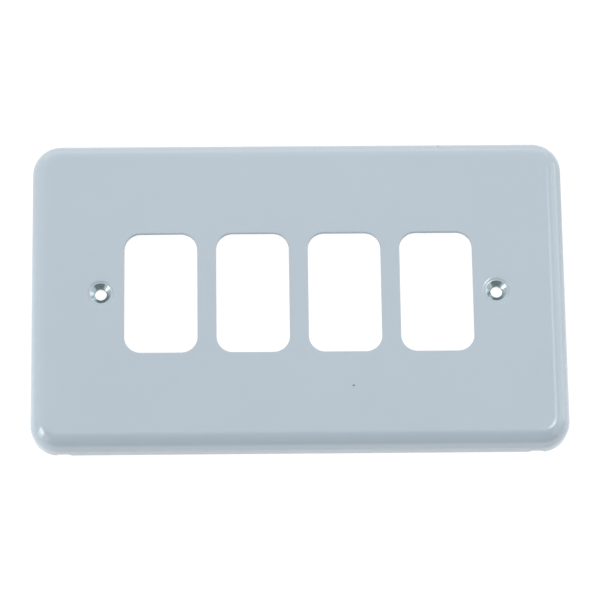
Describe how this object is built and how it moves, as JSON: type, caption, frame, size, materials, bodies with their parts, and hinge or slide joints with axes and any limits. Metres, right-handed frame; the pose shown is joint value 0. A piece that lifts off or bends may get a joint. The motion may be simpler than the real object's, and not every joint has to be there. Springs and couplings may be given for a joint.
{
  "type": "grid switch plate",
  "caption": "Pressed steel front plate for grid switches: rounded face with a rolled shoulder and skirt, a row of rounded module apertures and countersunk fixing holes.",
  "frame": {"origin": "centre of the plate on the plane of the skirt's edge, which meets the wall or box", "axes": "+X along the row of apertures, +Y up the plate, +Z out of the front face"},
  "size_m": [0.163, 0.098, 0.008],
  "materials": {
    "painted_steel": "satin"
  },
  "bodies": {
    "root": {"front_plate": "painted_steel"}
  },
  "joints": []
}
